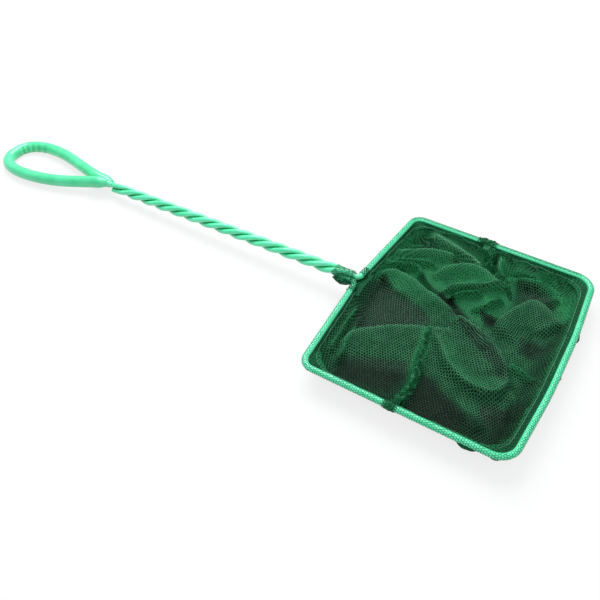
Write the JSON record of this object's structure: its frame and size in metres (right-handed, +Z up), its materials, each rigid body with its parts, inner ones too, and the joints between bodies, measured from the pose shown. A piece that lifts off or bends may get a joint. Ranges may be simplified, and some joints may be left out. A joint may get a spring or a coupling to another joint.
{
  "type": "aquarium fish net",
  "caption": "Small hand net for an aquarium: coated wire hoop, three-strand twisted handle, hang loop with a soft sleeve, and a fine net bag that lies collapsed.",
  "frame": {"origin": "on the table below the middle of the net's box", "axes": "+X from the hang loop to the hoop, +Y across the hoop to the left seen from the loop, +Z up"},
  "size_m": [0.423, 0.1526, 0.0202],
  "materials": {
    "wire_coat": "glossy mint green plastic coat",
    "wire_core": "drawn steel wire",
    "sleeve": "satin mint green soft plastic",
    "net": "fine dark green knitted mesh",
    "seam": "bunched dark green mesh",
    "thread": "pale green sewing thread"
  },
  "bodies": {
    "root": {"hoop_core": "wire_core", "left_strand_core": "wire_core", "right_strand_core": "wire_core", "tail_strand_core": "wire_core", "loop_core": "wire_core", "hoop_coat": "wire_coat", "left_strand": "wire_coat", "right_strand": "wire_coat", "tail_strand": "wire_coat", "loop_coat": "wire_coat", "loop_sleeve": "sleeve", "hem_handle_side": "net", "hem_far_side": "net", "net_handle_side": "net", "net_far_side": "net", "hem_thread_handle_side": "thread", "hem_thread_far_side": "thread", "side_seam_left": "seam", "side_seam_right": "seam", "neck_tongue": "seam"}
  },
  "joints": []
}
